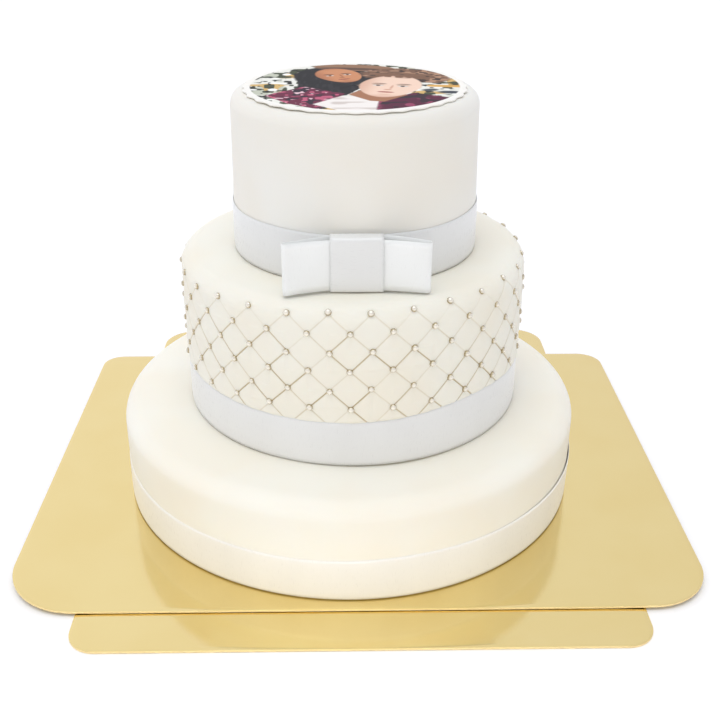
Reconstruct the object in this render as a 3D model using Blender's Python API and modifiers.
"""Three-tier wedding cake on two crossed gold cards, in metres, +Z up.

The front of the cake faces -Y. The origin is the bottom centre of the whole,
on the surface that the lower card lies on.
"""
import math
import random

import bmesh
import bpy
from mathutils import Matrix, Vector

# Cards
CARD_THICKNESS = 0.0012
LOWER_CARD_SIZE = (0.3290, 0.4100)
UPPER_CARD_SIZE = (0.4170, 0.3260)
# Corner radii run anticlockwise from the back right
LOWER_CARD_CORNERS = (0.0250, 0.0250, 0.0170, 0.0170)
UPPER_CARD_CORNERS = (0.0180, 0.0150, 0.0430, 0.0360)
CARD_CORNER_STEPS = 6
LOWER_CARD_SHIFT = (0.0014, 0.0)
UPPER_CARD_SHIFT = (0.0, -0.0110)
WING_LIFT = 0.0020
WING_BEND_CUTS = (0.1500, 0.1660, 0.1860)
WING_LENGTH_CUTS = 4

# Tiers, from the bottom one up
TIER_RADII = (0.1500, 0.1084, 0.0756)
TIER_HEIGHTS = (0.0649, 0.1014, 0.0955)
RIM_RADII = (0.0120, 0.0100, 0.0080)
TIER_AXES = ((-0.0043, -0.0158), (-0.0016, -0.0158), (-0.0003, -0.0158))
FOOT_RADIUS = 0.0015
RIM_STEPS = 4
TIER_STEPS = (60, 56, 48)

# Satin ribbons round the foot of each tier
RIBBON_HEIGHTS = (0.0285, 0.0300, 0.0297)
RIBBON_INNER_RADII = (0.1503, 0.1078, 0.0759)
RIBBON_THICKNESS = 0.0008

# Quilting and sugar pearls of the middle tier
PEARL_COLUMNS = 28
PEARL_ROWS = 6
PEARL_RADIUS = 0.0020
PEARL_STAND_OUT = 0.0010
PEARL_SEGMENTS = 5
PEARL_RINGS = 3
TOP_ROW_HEIGHT = 0.0964
ROW_SPACING = 0.0118
FIRST_COLUMN_ANGLE = math.radians(5.0)
ROW_WAVE = 0.0014
ROW_TILT = 0.0027
PEARL_PLACE_JITTER = 0.0007
GROOVE_DEPTH = 0.0004
PUFF_HEIGHT = 0.0008
WALL_BEHIND_RIBBON = 0.1074
RIBBON_CLEARANCE = 0.0008

# Bow at the front of the top tier
BOW_HALF_LENGTH = 0.0415
BOW_HEIGHT = 0.0300
LOOP_ROOT_HALF_DEPTH = 0.0041
LOOP_END_HALF_DEPTH = 0.0032
LEFT_LOOP_SWEEP = 0.0090
RIGHT_LOOP_SWEEP = 0.0050
BOW_RIBBON_THICKNESS = 0.0008
BAND_WIDTH = 0.0300
BAND_BEND_RADIUS = 0.0020
LOOP_SIDE_POINTS = 8
LOOP_END_POINTS = 6
BEND_POINTS = 3

# Printed sugar plaque
PLAQUE_RADIUS = 0.0665
PLAQUE_THICKNESS = 0.0013
SCALLOPS = 32
SCALLOP_DEPTH = 0.0007
POINTS_PER_SCALLOP = 4

GAP = 0.0003
MERGE = 0.00001
SEED = 28


def remove_everything():
    for item in list(bpy.data.objects):
        bpy.data.objects.remove(item, do_unlink=True)


def make_collection(name):
    collection = bpy.data.collections.new(name)
    bpy.context.scene.collection.children.link(collection)
    return collection


def make_material(name, colour, roughness, metallic=0.0):
    material = bpy.data.materials.new(name)
    material.use_nodes = True
    shader = material.node_tree.nodes["Principled BSDF"]
    shader.inputs["Base Color"].default_value = (*colour, 1.0)
    shader.inputs["Roughness"].default_value = roughness
    shader.inputs["Metallic"].default_value = metallic
    return material


def add_object(name, data, collection, material=None, location=(0.0, 0.0, 0.0)):
    item = bpy.data.objects.new(name, data)
    item.location = location
    collection.objects.link(item)
    if material:
        data.materials.append(material)
    return item


def evaluated_mesh(item):
    """A welded mesh of the object as its modifiers leave it."""
    depsgraph = bpy.context.evaluated_depsgraph_get()
    mesh = bpy.data.meshes.new_from_object(item.evaluated_get(depsgraph))
    body = bmesh.new()
    body.from_mesh(mesh)
    bmesh.ops.remove_doubles(body, verts=body.verts, dist=MERGE)
    body.to_mesh(mesh)
    body.free()
    return mesh


def replace_by_mesh(item):
    """Swap a curve or modified object for a plain mesh object of the same name and place."""
    name, location, collection = item.name, item.location.copy(), item.users_collection[0]
    mesh = evaluated_mesh(item)
    bpy.data.objects.remove(item, do_unlink=True)
    return add_object(name, mesh, collection, location=location)


def smooth(item):
    item.data.shade_smooth()
    item.data.set_sharp_from_angle(angle=math.radians(35.0))


def outline_curve(name, outlines, thickness, collection, material, location):
    """A flat shape lying in XY, filled between its outlines and given a thickness about Z = 0."""
    data = bpy.data.curves.new(name, "CURVE")
    data.dimensions = "2D"
    data.fill_mode = "BOTH"
    data.extrude = thickness / 2.0
    for points in outlines:
        spline = data.splines.new("POLY")
        spline.points.add(len(points) - 1)
        for point, (x, y) in zip(spline.points, points):
            point.co = (x, y, 0.0, 1.0)
        spline.use_cyclic_u = True
    return add_object(name, data, collection, material, location)


def rounded_rectangle(size, radii, steps):
    """Points round a rectangle with round corners, centred on the origin."""
    length, width = size
    points = []
    for corner, (side_x, side_y) in enumerate(((1, 1), (-1, 1), (-1, -1), (1, -1))):
        radius = radii[corner]
        centre_x = side_x * (length / 2.0 - radius)
        centre_y = side_y * (width / 2.0 - radius)
        for step in range(steps + 1):
            angle = math.radians(90.0) * (corner + step / steps)
            points.append((centre_x + radius * math.cos(angle), centre_y + radius * math.sin(angle)))
    return points


def turned(name, profile, steps, collection, material, location, closed=False):
    """A solid turned about Z from a profile of (radius, height) that runs down its outer side."""
    count = len(profile)
    edges = [(index, index + 1) for index in range(count - 1)]
    if closed:
        edges.append((count - 1, 0))
    mesh = bpy.data.meshes.new(name)
    mesh.from_pydata([(radius, 0.0, height) for radius, height in profile], edges, [])
    item = add_object(name, mesh, collection, material, location)
    screw = item.modifiers.new("Turn", "SCREW")
    screw.steps = steps
    screw.render_steps = steps
    screw.use_merge_vertices = True
    screw.merge_threshold = MERGE
    screw.use_smooth_shade = False
    return item


def rim_profile(radius, height, rim):
    """The top face and its rounded rim, from the axis outward and down."""
    points = [(0.0, height)]
    for step in range(RIM_STEPS + 1):
        angle = math.radians(90.0) * (1.0 - step / RIM_STEPS)
        points.append((radius - rim + rim * math.cos(angle), height - rim + rim * math.sin(angle)))
    return points


def tier_profile(radius, height, rim):
    foot = [(radius, FOOT_RADIUS), (radius - FOOT_RADIUS, 0.0), (0.0, 0.0)]
    return rim_profile(radius, height, rim) + foot


def tier_base_height(tier):
    """Height of the underside of a tier above the surface that the cake stands on."""
    cards = 2.0 * CARD_THICKNESS + 2.0 * GAP
    return cards + sum(TIER_HEIGHTS[:tier]) + tier * GAP


def tier_place(tier):
    return (*TIER_AXES[tier], tier_base_height(tier))


def make_lower_card(parts, material):
    outline = rounded_rectangle(LOWER_CARD_SIZE, LOWER_CARD_CORNERS, CARD_CORNER_STEPS)
    place = (*LOWER_CARD_SHIFT, CARD_THICKNESS / 2.0)
    return outline_curve("card_lower", [outline], CARD_THICKNESS, parts, material, place)


def wing_lift(x, y):
    """How far the card has bent up: its ends rise where they overhang, most at the front."""
    overhang = UPPER_CARD_SIZE[0] / 2.0 - WING_BEND_CUTS[0]
    along = max(0.0, (abs(x) - WING_BEND_CUTS[0]) / overhang)
    toward_front = 0.5 - y / UPPER_CARD_SIZE[1]
    return WING_LIFT * along ** 1.5 * max(0.0, toward_front)


def make_upper_card(parts, material):
    outline = rounded_rectangle(UPPER_CARD_SIZE, UPPER_CARD_CORNERS, CARD_CORNER_STEPS)
    place = (*UPPER_CARD_SHIFT, 1.5 * CARD_THICKNESS + GAP)
    flat = outline_curve("card_upper", [outline], CARD_THICKNESS, parts, None, place)
    card = replace_by_mesh(flat)
    body = bmesh.new()
    body.from_mesh(card.data)
    cuts = [(Vector((side * x, 0, 0)), Vector((1, 0, 0))) for x in WING_BEND_CUTS for side in (-1, 1)]
    for step in range(1, WING_LENGTH_CUTS):
        y = UPPER_CARD_SIZE[1] * (step / WING_LENGTH_CUTS - 0.5)
        cuts.append((Vector((0, y, 0)), Vector((0, 1, 0))))
    for point, normal in cuts:
        everything = body.verts[:] + body.edges[:] + body.faces[:]
        bmesh.ops.bisect_plane(body, geom=everything, dist=MERGE, plane_co=point, plane_no=normal)
    bmesh.ops.triangulate(body, faces=body.faces)
    for vertex in body.verts:
        vertex.co.z += wing_lift(vertex.co.x, vertex.co.y)
    body.to_mesh(card.data)
    body.free()
    card.data.materials.append(material)
    return card


def make_plain_tier(name, tier, parts, material):
    profile = tier_profile(TIER_RADII[tier], TIER_HEIGHTS[tier], RIM_RADII[tier])
    return turned(name, profile, TIER_STEPS[tier], parts, material, tier_place(tier))


def make_ribbon(name, tier, parts, material):
    inner = RIBBON_INNER_RADII[tier]
    outer = inner + RIBBON_THICKNESS
    top = GAP + RIBBON_HEIGHTS[tier]
    profile = [(inner, top), (outer, top), (outer, GAP), (inner, GAP)]
    place = tier_place(tier)
    return turned(name, profile, TIER_STEPS[tier], parts, material, place, closed=True)


def row_height(row, angle):
    """Height of a row of pearls above the tier's base: the rows wander a little round the cake."""
    level = TOP_ROW_HEIGHT - ROW_SPACING * row
    return level + ROW_WAVE * math.cos(2.0 * angle) + ROW_TILT * math.sin(angle)


def wall_radius(height):
    """Radius of the middle tier's wall, which turns inward at its rounded rim."""
    radius, rim = TIER_RADII[1], RIM_RADII[1]
    rise = height - (TIER_HEIGHTS[1] - rim)
    if rise <= 0.0:
        return radius
    return radius - rim + math.sqrt(max(0.0, rim * rim - rise * rise))


def wall_normal_tilt(height):
    """Upward tilt of the wall's normal at a height, nothing below the rim."""
    rise = height - (TIER_HEIGHTS[1] - RIM_RADII[1])
    return math.asin(min(1.0, max(0.0, rise / RIM_RADII[1])))


def quilt_profile():
    """Rings of the quilted wall, top to bottom: rim, rows of pearls, and the plain foot."""
    height = TIER_HEIGHTS[1]
    ribbon_top = GAP + RIBBON_HEIGHTS[1] + RIBBON_CLEARANCE
    near_top = height - 0.0005
    points = [(0.0, height), (wall_radius(height), height), (wall_radius(near_top), near_top)]
    for row in range(PEARL_ROWS):
        level = TOP_ROW_HEIGHT - ROW_SPACING * row
        points.append((wall_radius(level), level))
    points += [(WALL_BEHIND_RIBBON, ribbon_top), (WALL_BEHIND_RIBBON, FOOT_RADIUS)]
    points += [(WALL_BEHIND_RIBBON - FOOT_RADIUS, 0.0), (0.0, 0.0)]
    return points


def lattice_cell(vertex):
    """Row and half column of a vertex on the wall; odd sums are puffs, even sums are pearls."""
    row = round((TOP_ROW_HEIGHT - vertex.z) / ROW_SPACING)
    angle = math.atan2(vertex.x, -vertex.y)
    half_column = round((angle - FIRST_COLUMN_ANGLE) / (math.pi / PEARL_COLUMNS))
    return row, half_column


def quilt_wall(mesh):
    """Push the rows of a turned wall in and out, with straight grooves from pearl to pearl."""
    body = bmesh.new()
    body.from_mesh(mesh)
    bmesh.ops.rotate(body, verts=body.verts, matrix=Matrix.Rotation(FIRST_COLUMN_ANGLE, 3, "Z"))
    low = TOP_ROW_HEIGHT - ROW_SPACING * (PEARL_ROWS - 0.9)
    high = TOP_ROW_HEIGHT + MERGE
    on_groove = {}
    for vertex in body.verts:
        row, half_column = lattice_cell(vertex.co)
        on_groove[vertex] = (row + half_column) % 2 == 0
        if low < vertex.co.z < high:
            angle = math.atan2(vertex.co.x, -vertex.co.y)
            level = row_height(row, angle)
            offset = -GROOVE_DEPTH if on_groove[vertex] else PUFF_HEIGHT
            radius = wall_radius(level) + offset
            vertex.co = (radius * math.sin(angle), -radius * math.cos(angle), level)
    for face in list(body.faces):
        ring = list(face.verts)
        if len(ring) != 4:
            continue
        first = 0 if on_groove[ring[0]] and on_groove[ring[2]] else 1
        bmesh.utils.face_split(face, ring[first], ring[first + 2])
    body.to_mesh(mesh)
    body.free()


def pearl_centres():
    """Centres of all pearls in the middle tier's own frame, row by row."""
    draw = random.Random(SEED)
    pitch = 2.0 * math.pi / PEARL_COLUMNS
    for row in range(PEARL_ROWS):
        for column in range(PEARL_COLUMNS):
            angle = FIRST_COLUMN_ANGLE + pitch * (column + 0.5 * (row % 2))
            angle += draw.uniform(-1.0, 1.0) * PEARL_PLACE_JITTER / TIER_RADII[1]
            height = row_height(row, angle) + draw.uniform(-1.0, 1.0) * PEARL_PLACE_JITTER
            tilt = wall_normal_tilt(height)
            radius = wall_radius(height) + PEARL_STAND_OUT * math.cos(tilt)
            rise = height + PEARL_STAND_OUT * math.sin(tilt)
            yield Vector((radius * math.sin(angle), -radius * math.cos(angle), rise))


def make_quilted_tier(parts, material):
    place = tier_place(1)
    steps = 2 * PEARL_COLUMNS
    blank = turned("tier_middle", quilt_profile(), steps, parts, None, place)
    tier = replace_by_mesh(blank)
    quilt_wall(tier.data)
    pearls = make_collection("pearls")
    for number, centre in enumerate(pearl_centres()):
        mesh = bpy.data.meshes.new("pearl")
        body = bmesh.new()
        bmesh.ops.create_uvsphere(
            body, u_segments=PEARL_SEGMENTS, v_segments=PEARL_RINGS, radius=PEARL_RADIUS)
        body.to_mesh(mesh)
        body.free()
        pearl = add_object("pearl_%03d" % number, mesh, pearls, location=centre + Vector(place))
        pearl.hide_render = True
        pearl.display_type = "WIRE"
    union = tier.modifiers.new("Pearls", "BOOLEAN")
    union.operation = "UNION"
    union.operand_type = "COLLECTION"
    union.collection = pearls
    union.solver = "EXACT"
    bpy.context.view_layer.update()
    fused = replace_by_mesh(tier)
    for pearl in list(pearls.objects):
        bpy.data.objects.remove(pearl, do_unlink=True)
    bpy.data.collections.remove(pearls)
    fused.data.materials.clear()
    fused.data.materials.append(material)
    return fused


def loop_outline(side, sweep, inset):
    """Outline of a bow loop seen from above: it leaves the band straight and sweeps forward."""
    end_radius = LOOP_END_HALF_DEPTH - inset
    end_centre = BOW_HALF_LENGTH - LOOP_END_HALF_DEPTH
    band_edge = BAND_WIDTH / 2.0
    root = GAP / 2.0 + inset
    front, back = [(root, -LOOP_ROOT_HALF_DEPTH + inset)], [(root, LOOP_ROOT_HALF_DEPTH - inset)]
    for step in range(LOOP_SIDE_POINTS + 1):
        share = step / LOOP_SIDE_POINTS
        x = band_edge + (end_centre - band_edge) * share
        middle = -sweep * share ** 1.4
        half_depth = LOOP_ROOT_HALF_DEPTH + (LOOP_END_HALF_DEPTH - LOOP_ROOT_HALF_DEPTH) * share - inset
        front.append((x, middle - half_depth))
        back.append((x, middle + half_depth))
    fold = []
    for step in range(1, LOOP_END_POINTS):
        angle = math.radians(180.0 * step / LOOP_END_POINTS - 90.0)
        fold.append((end_centre + end_radius * math.cos(angle), end_radius * math.sin(angle) - sweep))
    return [(side * x, y) for x, y in front + fold + back[::-1]]


def bow_place():
    """Middle of the bow: its band stands just clear of the top tier's ribbon and its base."""
    axis_x, axis_y = TIER_AXES[2]
    ribbon_front = RIBBON_INNER_RADII[2] + RIBBON_THICKNESS
    wrap = GAP + BOW_RIBBON_THICKNESS
    y = axis_y - ribbon_front - GAP - wrap - LOOP_ROOT_HALF_DEPTH
    return (axis_x, y, tier_base_height(2) + wrap + BOW_HEIGHT / 2.0)


def make_bow_loop(name, side, sweep, parts, material):
    outlines = [loop_outline(side, sweep, 0.0), loop_outline(side, sweep, BOW_RIBBON_THICKNESS)]
    return outline_curve(name, outlines, BOW_HEIGHT, parts, material, bow_place())


def make_bow_band(parts, material):
    """A strap round the roots of both loops: a flat ring standing on edge across the bow."""
    depth = 2.0 * (LOOP_ROOT_HALF_DEPTH + GAP)
    height = BOW_HEIGHT + 2.0 * GAP
    wrap = 2.0 * BOW_RIBBON_THICKNESS
    outer_radius = BAND_BEND_RADIUS + BOW_RIBBON_THICKNESS
    inner = rounded_rectangle((depth, height), [GAP] * 4, 1)
    outer = rounded_rectangle((depth + wrap, height + wrap), [outer_radius] * 4, BEND_POINTS)
    band = outline_curve("bow_band", [outer, inner], BAND_WIDTH, parts, material, bow_place())
    band.rotation_euler = (math.radians(90.0), 0.0, math.radians(90.0))
    return band


def make_plaque(parts, material):
    count = SCALLOPS * POINTS_PER_SCALLOP
    outline = []
    for step in range(count):
        angle = 2.0 * math.pi * step / count
        radius = PLAQUE_RADIUS + SCALLOP_DEPTH * math.cos(SCALLOPS * angle)
        outline.append((radius * math.cos(angle), radius * math.sin(angle)))
    top = tier_base_height(3)
    place = (*TIER_AXES[2], top + PLAQUE_THICKNESS / 2.0)
    return outline_curve("photo_plaque", [outline], PLAQUE_THICKNESS, parts, material, place)


def main():
    remove_everything()
    parts = make_collection("wedding_cake")
    gold = make_material("gold_card", (0.83, 0.62, 0.27), 0.28, 1.0)
    fondant = make_material("fondant", (0.87, 0.84, 0.73), 0.55)
    quilt = make_material("quilted_fondant", (0.87, 0.84, 0.73), 0.55)
    satin = make_material("satin_ribbon", (0.83, 0.83, 0.81), 0.35)
    sugar = make_material("sugar_plaque", (0.80, 0.77, 0.70), 0.60)

    items = [make_lower_card(parts, gold), make_upper_card(parts, gold)]
    items.append(make_plain_tier("tier_bottom", 0, parts, fondant))
    items.append(make_quilted_tier(parts, quilt))
    items.append(make_plain_tier("tier_top", 2, parts, fondant))
    for tier, name in enumerate(("ribbon_bottom", "ribbon_middle", "ribbon_top")):
        items.append(make_ribbon(name, tier, parts, satin))
    items.append(make_bow_loop("bow_loop_left", -1, LEFT_LOOP_SWEEP, parts, satin))
    items.append(make_bow_loop("bow_loop_right", 1, RIGHT_LOOP_SWEEP, parts, satin))
    items.append(make_bow_band(parts, satin))
    items.append(make_plaque(parts, sugar))

    stand = bpy.data.objects.new("cake", None)
    parts.objects.link(stand)
    for item in items:
        item.parent = stand
        if item.type == "MESH":
            smooth(item)


main()
